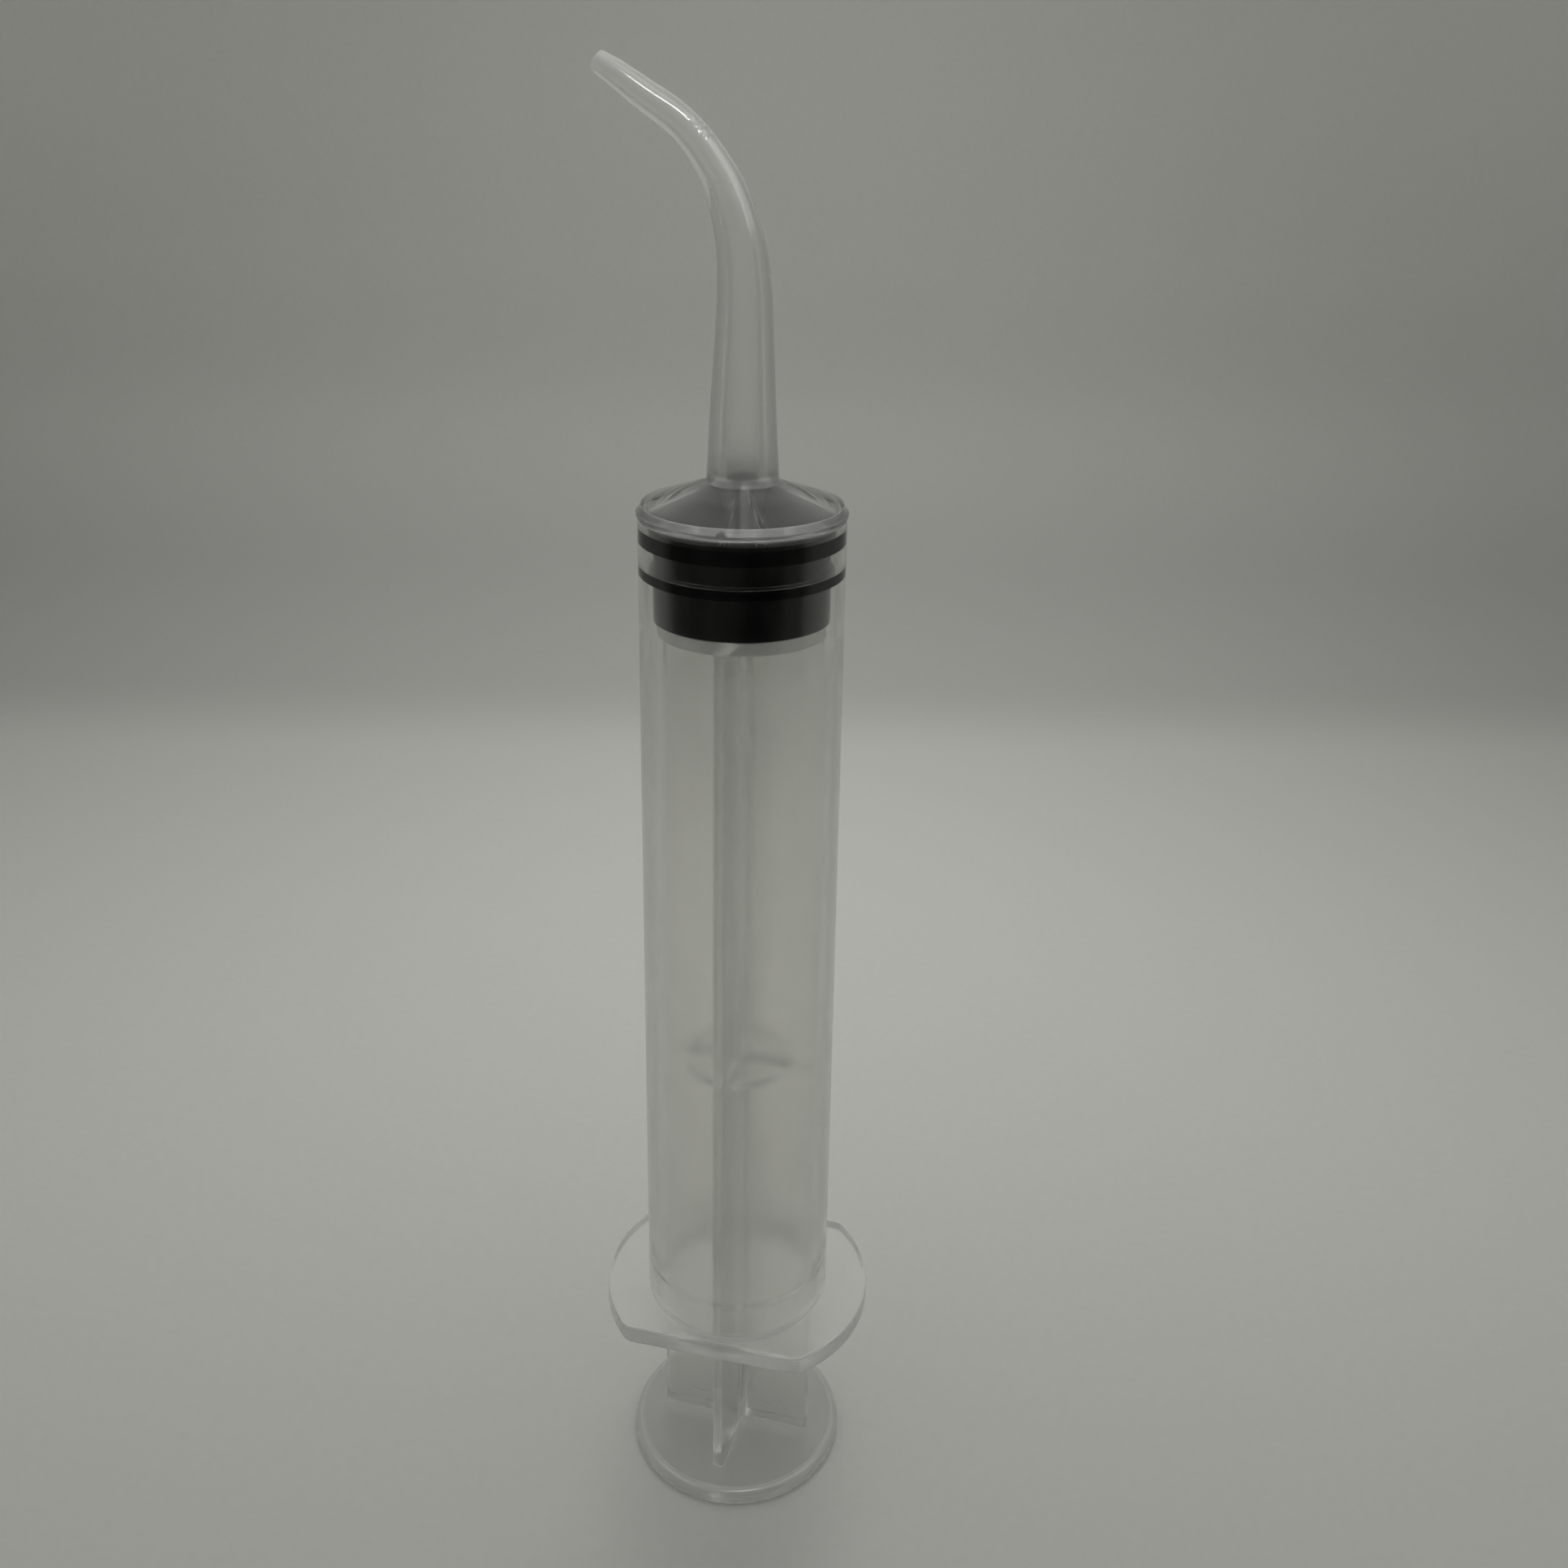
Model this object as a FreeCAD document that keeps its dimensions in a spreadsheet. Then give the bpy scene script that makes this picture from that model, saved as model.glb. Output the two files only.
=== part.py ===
import FreeCAD, Part
import os, math
import Sketcher
from FreeCAD import Vector, Placement, Rotation

# Curved-tip utility syringe, 12 ml class, used as a marinade / meat injector.
# Millimetres, +Z up.  Z = 0 is the flat underside of the thumb rest, the Z axis
# is the axis of rod, stopper and barrel.  +X runs along the long direction of
# the two-flat finger flange; the nozzle bends towards -X.

os.makedirs("parts", exist_ok=True)
doc = FreeCAD.newDocument("syringe")

# ---------------------------------------------------------------- dimensions
sheet = doc.addObject("Spreadsheet::Sheet", "Dimensions")
dims = [
    # plunger rod
    ("thumb_radius", 10.36), ("thumb_thick", 1.55), ("thumb_top_round", 0.90), ("thumb_foot_round", 0.30),
    ("rib_foot_radius", 7.36), ("rib_head_radius", 7.06),
    ("rib_half_thick", 0.60), ("rib_root_half", 0.66), ("rib_edge_half", 0.46),
    ("rib_edge_round", 0.18), ("rib_root_round", 0.55),
    ("rib_foot_level", 1.20), ("head_disc_level", 86.70), ("head_disc_radius", 7.22),
    ("head_disc_thick", 1.25), ("head_disc_bevel", 0.15),
    ("web_radius", 4.90), ("web_level", 43.90), ("web_thick", 0.85),
    ("neck_radius", 2.60), ("neck_top", 90.10), ("knob_radius", 4.40), ("knob_edge_top", 90.70), ("knob_top", 92.30), ("knob_flat_radius", 2.90),
    ("pin_mark_radius", 1.65), ("pin_mark_depth", 0.08), ("pin_mark_offset", 3.60),
    ("pin_mark_low", 5.20), ("pin_mark_mid", 47.60), ("pin_mark_high", 81.40),
    # rubber stopper
    ("stopper_foot", 88.00), ("stopper_body_radius", 7.53), ("stopper_groove_radius", 7.50),
    ("seal_radius", 7.87), ("low_seal_foot", 91.60), ("low_seal_top", 92.60),
    ("high_seal_foot", 94.70), ("high_seal_top", 96.15),
    ("stopper_cone_top", 99.32), ("stopper_cone_flat", 1.45),
    ("socket_mouth_radius", 2.68), ("socket_mouth_top", 90.02), ("socket_radius", 4.48), ("socket_top", 92.38), ("socket_flat_radius", 2.98),
    # barrel
    ("bore_radius", 7.90), ("barrel_radius", 8.75), ("mouth_radius", 8.08),
    ("flange_foot", 17.04), ("flange_top", 18.94), ("flange_radius", 12.79), ("flange_flat", 9.65),
    ("flange_round", 0.28),
    ("lead_foot", 21.70), ("lead_top", 22.35), ("mouth_bevel", 0.25),
    ("rim_foot", 96.72), ("rim_step", 0.11), ("rim_top", 97.02),
    ("shoulder_edge_radius", 8.42), ("shoulder_edge_level", 97.66),
    ("shoulder_top", 99.69), ("shoulder_top_radius", 2.60),
    ("cavity_foot", 96.52), ("cavity_top", 99.90), ("cavity_top_radius", 1.20),
    ("gate_radius", 0.42), ("gate_level", 97.02), ("gate_reach", 8.98),
]
# nozzle stations: travel towards the bend, level, outer radius, bore radius
stations = [
    (0.00, 99.20, 3.03, 1.40),
    (0.00, 101.40, 2.92, 1.36),
    (0.00, 104.10, 2.78, 1.30),
    (-0.02, 107.40, 2.60, 1.21),
    (-0.06, 110.60, 2.42, 1.12),
    (-0.08, 113.20, 2.27, 1.04),
    (-0.02, 115.72, 2.15, 0.97),
    (0.20, 118.12, 2.01, 0.90),
    (0.74, 120.46, 1.82, 0.83),
    (1.55, 122.76, 1.62, 0.76),
    (2.76, 124.86, 1.44, 0.70),
    (4.24, 126.75, 1.34, 0.66),
    (6.10, 128.34, 1.30, 0.63),
    (8.21, 129.67, 1.22, 0.60),
    (10.22, 131.02, 1.08, 0.55),
    (11.96, 132.07, 0.92, 0.49),
]
names = ["one", "two", "three", "four", "five", "six", "seven", "eight", "nine", "ten",
         "eleven", "twelve", "thirteen", "fourteen", "fifteen", "sixteen"]
for k, (tx, tz, ro, ri) in enumerate(stations):
    a = stations[max(k - 1, 0)]
    b = stations[min(k + 1, len(stations) - 1)]
    # the first two stations keep a level section, so the nozzle leaves square
    lean = 0.0 if k < 2 else math.degrees(math.atan2(b[0] - a[0], b[1] - a[1]))
    dims += [("travel_" + names[k], tx), ("height_" + names[k], tz), ("lean_" + names[k], round(lean, 3)),
             ("outer_" + names[k], ro), ("inner_" + names[k], ri)]
for row, (alias, value) in enumerate(dims, start=1):
    sheet.set("A%d" % row, alias)
    sheet.set("B%d" % row, str(value))
    sheet.setAlias("B%d" % row, alias)
doc.recompute()


def val(name):
    return float(getattr(sheet, name))


def plane_of(body, role):
    for f in body.Origin.OriginFeatures:
        if f.Role == role:
            return f
    raise RuntimeError(role)


def new_body(label):
    body = doc.addObject("PartDesign::Body", label + "_body")
    body.Label = label
    doc.recompute()
    return body


def new_sketch(body, name, role, offset=None):
    sk = body.newObject("Sketcher::SketchObject", name)
    sk.AttachmentSupport = (plane_of(body, role), [""])
    sk.MapMode = "FlatFace"
    if offset is not None:
        sk.AttachmentOffset = offset
    return sk


def profile(sk, points):
    """Closed polygon whose corners are held to sheet cells: points are
    (x, x_expression, y, y_expression)."""
    n = len(points)
    first = sk.GeometryCount
    for i in range(n):
        a, b = points[i], points[(i + 1) % n]
        sk.addGeometry(Part.LineSegment(Vector(a[0], a[2], 0), Vector(b[0], b[2], 0)), False)
    for i in range(n):
        sk.addConstraint(Sketcher.Constraint("Coincident", first + i, 2, first + (i + 1) % n, 1))
    for i, (x, xe, y, ye) in enumerate(points):
        for kind, v, e in (("DistanceX", x, xe), ("DistanceY", y, ye)):
            if abs(v) < 1e-9 and e is None:
                # corner on the axis
                sk.addConstraint(Sketcher.Constraint("PointOnObject", first + i, 1, -2 if kind == "DistanceX" else -1))
                continue
            c = sk.addConstraint(Sketcher.Constraint(kind, -1, 1, first + i, 1, v))
            if e:
                sk.setExpression("Constraints[%d]" % c, e)


def R(name):
    """Corner coordinate straight from one sheet cell."""
    return val(name), "Dimensions." + name


def pt(x, y):
    """Corner from two entries; each is an alias, a pair (value, expression) or 0."""
    out = []
    for q in (x, y):
        if q == 0:
            out += [0.0, None]
        elif isinstance(q, str):
            v, e = R(q)
            out += [v, e]
        else:
            out += [q[0], q[1]]
    return tuple(out)


def expr(text):
    """Pair (value, expression) from a sum of aliases, e.g. 'a + b - c'."""
    v, sign = 0.0, 1.0
    e = []
    for tok in text.split():
        if tok in "+-":
            sign = 1.0 if tok == "+" else -1.0
            e.append(tok)
        else:
            v += sign * val(tok)
            e.append("Dimensions." + tok)
    return v, " ".join(e)


def revolve(body, name, points, kind="PartDesign::Revolution"):
    sk = new_sketch(body, name + "_profile", "XZ_Plane")
    profile(sk, points)
    doc.recompute()
    f = body.newObject(kind, name)
    f.Profile = (sk, [""])
    f.ReferenceAxis = (sk, ["V_Axis"])
    f.Angle = 360.0
    doc.recompute()
    sk.Visibility = False
    return f


def edges_where(shape, test):
    out = []
    for i, e in enumerate(shape.Edges, start=1):
        try:
            if test(e):
                out.append("Edge%d" % i)
        except Exception:
            pass
    return out


def fillet(body, name, test, size_alias):
    tip = body.Tip
    es = edges_where(tip.Shape, test)
    if not es:
        raise RuntimeError("no edges for " + name)
    f = body.newObject("PartDesign::Fillet", name)
    f.Base = (tip, es)
    f.setExpression("Radius", "Dimensions." + size_alias)
    doc.recompute()
    if f.Shape.isNull() or not f.Shape.isValid() or "Invalid" in f.State:
        raise RuntimeError("fillet failed: " + name)
    return f


def level_circle(z, r):
    def test(e):
        return (hasattr(e.Curve, "Radius") and abs(e.Curve.Radius - r) < 1e-4
                and abs(e.BoundBox.ZMin - z) < 1e-4 and abs(e.BoundBox.ZMax - z) < 1e-4)
    return test


# ---------------------------------------------------------------- plunger rod
rod = new_body("plunger_rod")
revolve(rod, "thumb_rest", [pt(0, 0), pt("thumb_radius", 0), pt("thumb_radius", "thumb_thick"), pt(0, "thumb_thick")])
fillet(rod, "thumb_top_edge", level_circle(val("thumb_thick"), val("thumb_radius")), "thumb_top_round")
fillet(rod, "thumb_foot_edge", level_circle(0.0, val("thumb_radius")), "thumb_foot_round")


def cross_points(reach):
    """Outline of the cross-shaped rod: ribs along X are parallel-sided, the
    ribs along Y are drafted (thinner at the outer edge)."""
    t, rt, ed = val("rib_half_thick"), val("rib_root_half"), val("rib_edge_half")
    b, q = val("rib_edge_round"), val("rib_root_round")
    quad = [(reach, t - b), (reach - b, t), (rt + q, t), (rt + q * 0.30, t + q * 0.30), (rt, t + q),
            (ed, reach - b), (ed - b, reach)]
    pts = []
    pts += [(x, y) for x, y in quad]
    pts += [(-x, y) for x, y in reversed(quad)]
    pts += [(-x, -y) for x, y in quad]
    pts += [(x, -y) for x, y in reversed(quad)]
    return pts


def cross_sketch(name, reach_alias, level_alias):
    sk = new_sketch(rod, name, "XY_Plane")
    sk.setExpression("AttachmentOffset.Base.z", "Dimensions." + level_alias)
    reach = val(reach_alias)
    t, rt, ed = "rib_half_thick", "rib_root_half", "rib_edge_half"
    b, q = "rib_edge_round", "rib_root_round"
    D = "Dimensions."
    ex = [(D + reach_alias, D + t + " - " + D + b), (D + reach_alias + " - " + D + b, D + t),
          (D + rt + " + " + D + q, D + t),
          (D + rt + " + " + D + q + " * 0.3", D + t + " + " + D + q + " * 0.3"),
          (D + rt, D + t + " + " + D + q),
          (D + ed, D + reach_alias + " - " + D + b), (D + ed + " - " + D + b, D + reach_alias)]
    pts = cross_points(reach)
    order = []
    for sx, sy, seq in ((1, 1, ex), (-1, 1, ex[::-1]), (-1, -1, ex), (1, -1, ex[::-1])):
        order += [(sx, sy, e) for e in seq]
    plist = []
    for (x, y), (sx, sy, (xe, ye)) in zip(pts, order):
        plist.append((x, xe if sx > 0 else "-(" + xe + ")", y, ye if sy > 0 else "-(" + ye + ")"))
    profile(sk, plist)
    return sk


s_low = cross_sketch("cross_at_foot", "rib_foot_radius", "rib_foot_level")
s_high = cross_sketch("cross_at_head", "rib_head_radius", "head_disc_level")
doc.recompute()
cross = rod.newObject("PartDesign::AdditiveLoft", "cross_ribs")
cross.Profile = (s_low, [""])
cross.Sections = [(s_high, [""])]
cross.Ruled = True
doc.recompute()

# round stiffening web half way up
sk = new_sketch(rod, "web_circle", "XY_Plane")
sk.setExpression("AttachmentOffset.Base.z", "Dimensions.web_level")
sk.addGeometry(Part.Circle(Vector(0, 0, 0), Vector(0, 0, 1), val("web_radius")), False)
sk.addConstraint(Sketcher.Constraint("Coincident", 0, 3, -1, 1))
c = sk.addConstraint(Sketcher.Constraint("Radius", 0, val("web_radius")))
sk.setExpression("Constraints[%d]" % c, "Dimensions.web_radius")
doc.recompute()
web = rod.newObject("PartDesign::Pad", "round_web")
web.Profile = (sk, [""])
web.setExpression("Length", "Dimensions.web_thick")
doc.recompute()

# head disc, neck and snap-in knob that carry the stopper
revolve(rod, "head_and_knob", [
    pt(0, "head_disc_level"), pt(expr("head_disc_radius - head_disc_bevel"), "head_disc_level"),
    pt("head_disc_radius", expr("head_disc_level + head_disc_bevel")),
    pt("head_disc_radius", expr("head_disc_level + head_disc_thick")),
    pt("neck_radius", expr("head_disc_level + head_disc_thick")),
    pt("neck_radius", "neck_top"), pt("knob_radius", "neck_top"),
    pt("knob_radius", "knob_edge_top"),
    pt("knob_flat_radius", "knob_top"), pt(0, "knob_top")])

# round ejector-pin marks sunk in the front faces of the X ribs
sk = new_sketch(rod, "pin_marks", "XZ_Plane")
sk.setExpression("AttachmentOffset.Base.z", "Dimensions.rib_half_thick - Dimensions.pin_mark_depth")
g = 0
for sx in (1, -1):
    for lev in ("pin_mark_low", "pin_mark_mid", "pin_mark_high"):
        sk.addGeometry(Part.Circle(Vector(sx * val("pin_mark_offset"), val(lev), 0), Vector(0, 0, 1), val("pin_mark_radius")), False)
        c = sk.addConstraint(Sketcher.Constraint("Radius", g, val("pin_mark_radius")))
        sk.setExpression("Constraints[%d]" % c, "Dimensions.pin_mark_radius")
        c = sk.addConstraint(Sketcher.Constraint("DistanceX", -1, 1, g, 3, sx * val("pin_mark_offset")))
        sk.setExpression("Constraints[%d]" % c, ("" if sx > 0 else "-") + "Dimensions.pin_mark_offset")
        c = sk.addConstraint(Sketcher.Constraint("DistanceY", -1, 1, g, 3, val(lev)))
        sk.setExpression("Constraints[%d]" % c, "Dimensions." + lev)
        g += 1
doc.recompute()
v0 = rod.Shape.Volume
marks = rod.newObject("PartDesign::Pocket", "ejector_pin_marks")
marks.Profile = (sk, [""])
marks.Length = 0.4
marks.Reversed = True
doc.recompute()
want = 6 * math.pi * val("pin_mark_radius") ** 2 * val("pin_mark_depth")
if not (0.8 * want < v0 - rod.Shape.Volume < 1.2 * want):
    marks.Reversed = False
    doc.recompute()
print("pin mark volume", v0 - rod.Shape.Volume, "wanted", want)

# ---------------------------------------------------------------- rubber stopper
stopper = new_body("rubber_stopper")
revolve(stopper, "stopper_blank", [
    pt(0, "stopper_foot"), pt("stopper_body_radius", "stopper_foot"),
    pt("stopper_body_radius", "low_seal_foot"), pt("seal_radius", "low_seal_foot"),
    pt("seal_radius", "low_seal_top"), pt("stopper_groove_radius", "low_seal_top"),
    pt("stopper_groove_radius", "high_seal_foot"), pt("seal_radius", "high_seal_foot"),
    pt("seal_radius", "high_seal_top"), pt("stopper_cone_flat", "stopper_cone_top"),
    pt(0, "stopper_cone_top")])
v0 = stopper.Shape.Volume
revolve(stopper, "knob_socket", [
    pt(0, "stopper_foot"), pt("socket_mouth_radius", "stopper_foot"),
    pt("socket_mouth_radius", "socket_mouth_top"), pt("socket_radius", "socket_mouth_top"),
    pt("socket_radius", expr("knob_edge_top")),
    pt("socket_flat_radius", "socket_top"), pt(0, "socket_top")], "PartDesign::Groove")
print("socket volume", v0 - stopper.Shape.Volume)

# ---------------------------------------------------------------- barrel
barrel = new_body("barrel")
revolve(barrel, "tube_and_shoulder", [
    pt(0, "flange_foot"), pt("barrel_radius", "flange_foot"),
    pt("barrel_radius", "rim_foot"),
    pt(expr("barrel_radius + rim_step"), expr("rim_foot + rim_step")),
    pt(expr("barrel_radius + rim_step"), "rim_top"),
    pt(expr("barrel_radius - rim_step"), expr("rim_top + rim_step + rim_step + rim_step")),
    pt("shoulder_edge_radius", "shoulder_edge_level"),
    pt("shoulder_top_radius", "shoulder_top"), pt(0, "shoulder_top")])

sk = new_sketch(barrel, "flange_outline", "XY_Plane")
sk.setExpression("AttachmentOffset.Base.z", "Dimensions.flange_foot")
Rf, yf = val("flange_radius"), val("flange_flat")
a1 = math.asin(yf / Rf)
xf = Rf * math.cos(a1)
sk.addGeometry(Part.ArcOfCircle(Part.Circle(Vector(0, 0, 0), Vector(0, 0, 1), Rf), -a1, a1), False)
sk.addGeometry(Part.LineSegment(Vector(xf, yf, 0), Vector(-xf, yf, 0)), False)
sk.addGeometry(Part.ArcOfCircle(Part.Circle(Vector(0, 0, 0), Vector(0, 0, 1), Rf), math.pi - a1, math.pi + a1), False)
sk.addGeometry(Part.LineSegment(Vector(-xf, -yf, 0), Vector(xf, -yf, 0)), False)
for con in (("Coincident", 0, 3, -1, 1), ("Coincident", 2, 3, -1, 1), ("Coincident", 0, 2, 1, 1), ("Coincident", 1, 2, 2, 1),
            ("Coincident", 2, 2, 3, 1), ("Coincident", 3, 2, 0, 1), ("Horizontal", 1), ("Horizontal", 3), ("Equal", 0, 2)):
    sk.addConstraint(Sketcher.Constraint(*con))
c = sk.addConstraint(Sketcher.Constraint("Radius", 0, Rf))
sk.setExpression("Constraints[%d]" % c, "Dimensions.flange_radius")
c = sk.addConstraint(Sketcher.Constraint("DistanceY", -1, 1, 1, 1, yf))
sk.setExpression("Constraints[%d]" % c, "Dimensions.flange_flat")
c = sk.addConstraint(Sketcher.Constraint("DistanceY", 3, 1, -1, 1, yf))
sk.setExpression("Constraints[%d]" % c, "Dimensions.flange_flat")
doc.recompute()
flange = barrel.newObject("PartDesign::Pad", "finger_flange")
flange.Profile = (sk, [""])
flange.setExpression("Length", "Dimensions.flange_top - Dimensions.flange_foot")
doc.recompute()


def flange_edge(e):
    bb = e.BoundBox
    far = max(abs(bb.XMin), abs(bb.XMax), abs(bb.YMin), abs(bb.YMax)) > 9.2
    mid = e.valueAt((e.FirstParameter + e.LastParameter) / 2)
    return far and bb.ZMax < 19.5 and (abs(mid.x) > 9 or abs(mid.y) > 9.3)


fillet(barrel, "flange_edges", flange_edge, "flange_round")


def station_sketch(k, which):
    nm = names[k]
    sk = new_sketch(barrel, "nozzle_%s_%s" % (which, nm), "XY_Plane",
                    FreeCAD.Placement(Vector(-val("travel_" + nm), 0, val("height_" + nm)),
                                      Rotation(Vector(0, 1, 0), -val("lean_" + nm))))
    sk.setExpression("AttachmentOffset.Base.x", "-Dimensions.travel_" + nm)
    sk.setExpression("AttachmentOffset.Base.z", "Dimensions.height_" + nm)
    r = val(which + "_" + nm)
    sk.addGeometry(Part.Circle(Vector(0, 0, 0), Vector(0, 0, 1), r), False)
    sk.addConstraint(Sketcher.Constraint("Coincident", 0, 3, -1, 1))
    c = sk.addConstraint(Sketcher.Constraint("Radius", 0, r))
    sk.setExpression("Constraints[%d]" % c, "Dimensions.%s_%s" % (which, nm))
    sk.Visibility = False
    return sk


outer = [station_sketch(k, "outer") for k in range(len(stations))]
doc.recompute()
noz = barrel.newObject("PartDesign::AdditiveLoft", "bent_nozzle")
noz.Profile = (outer[0], [""])
noz.Sections = [(s, [""]) for s in outer[1:]]
noz.Ruled = False
doc.recompute()
print("nozzle state", noz.State, noz.Shape.isValid(), round(noz.Shape.Volume, 1))

# cavity: mouth bevel, lead-in, bore and conical floor
revolve(barrel, "bore", [
    pt(0, "flange_foot"), pt(expr("mouth_radius + mouth_bevel"), "flange_foot"),
    pt("mouth_radius", expr("flange_foot + mouth_bevel")),
    pt("mouth_radius", "lead_foot"), pt("bore_radius", "lead_top"),
    pt("bore_radius", "cavity_foot"), pt("cavity_top_radius", "cavity_top"), pt(0, "cavity_top")],
    "PartDesign::Groove")
print("bore state", barrel.Tip.State, round(barrel.Shape.Volume, 1))

inner = [station_sketch(k, "inner") for k in range(len(stations))]
# the last bore section runs a little past the tip so the outlet is open
sl = inner[-1]
lean = math.radians(val("lean_" + names[-1]))
past = FreeCAD.Placement(Vector(-val("travel_" + names[-1]) - 0.6 * math.sin(lean), 0, val("height_" + names[-1]) + 0.6 * math.cos(lean)),
                         Rotation(Vector(0, 1, 0), -val("lean_" + names[-1])))
sl.setExpression("AttachmentOffset.Base.x", None)
sl.setExpression("AttachmentOffset.Base.z", None)
sl.AttachmentOffset = past
sl.setExpression("AttachmentOffset.Base.x", "-Dimensions.travel_%s - 0.6 * sin(Dimensions.lean_%s * 1deg)" % (names[-1], names[-1]))
sl.setExpression("AttachmentOffset.Base.z", "Dimensions.height_%s + 0.6 * cos(Dimensions.lean_%s * 1deg)" % (names[-1], names[-1]))
doc.recompute()
v0 = barrel.Shape.Volume
chan = barrel.newObject("PartDesign::SubtractiveLoft", "nozzle_bore")
chan.Profile = (inner[0], [""])
chan.Sections = [(s, [""]) for s in inner[1:]]
chan.Ruled = False
doc.recompute()
print("nozzle bore state", chan.State, chan.Shape.isValid(), "cut", round(v0 - barrel.Shape.Volume, 1))

# small half-round gate vestige on the rim
sk = new_sketch(barrel, "gate_circle", "XZ_Plane")
sk.setExpression("AttachmentOffset.Base.z", "Dimensions.barrel_radius - 0.3")
sk.addGeometry(Part.Circle(Vector(0, val("gate_level"), 0), Vector(0, 0, 1), val("gate_radius")), False)
c = sk.addConstraint(Sketcher.Constraint("Radius", 0, val("gate_radius")))
sk.setExpression("Constraints[%d]" % c, "Dimensions.gate_radius")
sk.addConstraint(Sketcher.Constraint("PointOnObject", 0, 3, -2))
c = sk.addConstraint(Sketcher.Constraint("DistanceY", -1, 1, 0, 3, val("gate_level")))
sk.setExpression("Constraints[%d]" % c, "Dimensions.gate_level")
doc.recompute()
gate = barrel.newObject("PartDesign::Pad", "gate_vestige")
gate.Profile = (sk, [""])
gate.setExpression("Length", "Dimensions.gate_reach - Dimensions.barrel_radius + 0.3")
doc.recompute()
if barrel.Shape.BoundBox.YMin > -9.7 and barrel.Shape.BoundBox.YMin < -9.6:
    front = barrel.Shape.common(Part.makeBox(2, 1.2, 1.4, Vector(-1, -9.6, 96.4))).Volume
    print("gate pad, material in front of the rim", round(front, 4))

doc.recompute()

# ---------------------------------------------------------------- export
bad = []
for o in doc.Objects:
    st = [s for s in o.State if s in ("Invalid", "Error")]
    if st:
        bad.append((o.Name, st))
if bad:
    raise RuntimeError(str(bad))
for body in (rod, stopper, barrel):
    s = body.Shape
    if s.isNull() or not s.isValid():
        raise RuntimeError("bad shape " + body.Label)
    if len(s.Solids) != 1:
        raise RuntimeError("%s has %d solids" % (body.Label, len(s.Solids)))
    bb = s.BoundBox
    print(body.Label, "vol %.1f" % s.Volume, "x %.2f..%.2f y %.2f..%.2f z %.2f..%.2f" %
          (bb.XMin, bb.XMax, bb.YMin, bb.YMax, bb.ZMin, bb.ZMax))
    s.exportStep("parts/%s.step" % body.Label)
for a, b in ((rod, stopper), (rod, barrel), (stopper, barrel)):
    print(a.Label, b.Label, "overlap %.5f" % a.Shape.common(b.Shape).Volume, "gap %.4f" % a.Shape.distToShape(b.Shape)[0])
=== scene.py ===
import bpy, bmesh, math
from mathutils import Vector, Matrix


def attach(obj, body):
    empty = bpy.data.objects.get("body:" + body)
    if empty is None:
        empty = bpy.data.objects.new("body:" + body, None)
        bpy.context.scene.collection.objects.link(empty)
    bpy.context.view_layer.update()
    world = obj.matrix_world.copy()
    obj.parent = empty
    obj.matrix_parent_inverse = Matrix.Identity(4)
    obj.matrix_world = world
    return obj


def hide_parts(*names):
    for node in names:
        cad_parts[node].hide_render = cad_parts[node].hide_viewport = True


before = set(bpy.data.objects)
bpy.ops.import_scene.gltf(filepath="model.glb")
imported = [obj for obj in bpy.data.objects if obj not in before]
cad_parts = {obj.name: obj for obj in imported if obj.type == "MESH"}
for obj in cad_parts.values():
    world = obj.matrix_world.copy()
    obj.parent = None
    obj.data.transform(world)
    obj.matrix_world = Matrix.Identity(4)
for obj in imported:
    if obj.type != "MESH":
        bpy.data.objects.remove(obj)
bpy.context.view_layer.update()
scene = bpy.context.scene
MM = 0.001

# ------------------------------------------------------------------ camera
# The flange's long direction is turned a little from square to the view.
TURN = math.radians(14.3)
PITCH, ROLL, YAW = 0.3306, 0.0158, 0.0186
EYE = (1.3073, -124.1187, 128.8499)          # mm, before the turn


def turned(v):
    c, s = math.cos(TURN), math.sin(TURN)
    return Vector((v[0] * c - v[1] * s, v[0] * s + v[1] * c, v[2]))


def cross3(a, b):
    return Vector(a).cross(Vector(b))


ahead = Vector((math.sin(YAW) * math.cos(PITCH), math.cos(YAW) * math.cos(PITCH), -math.sin(PITCH)))
side = Vector((math.cos(YAW), -math.sin(YAW), 0.0))
over = side.cross(ahead)
r2 = side * math.cos(ROLL) + over * math.sin(ROLL)
u2 = -side * math.sin(ROLL) + over * math.cos(ROLL)
cam_data = bpy.data.cameras.new("camera")
cam = bpy.data.objects.new("camera", cam_data)
scene.collection.objects.link(cam)
R, U, B = turned(r2), turned(u2), turned(-ahead)
m = Matrix(((R.x, U.x, B.x, 0), (R.y, U.y, B.y, 0), (R.z, U.z, B.z, 0), (0, 0, 0, 1)))
m.translation = turned(EYE) * MM
cam.matrix_world = m
cam_data.sensor_fit = "HORIZONTAL"
cam_data.sensor_width = 36.0
cam_data.lens = 1890.7 / 1932.0 * 36.0
cam_data.shift_y = -(966.0 - 780.53) / 1932.0
cam_data.clip_start, cam_data.clip_end = 0.005, 20.0
scene.camera = cam


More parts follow.
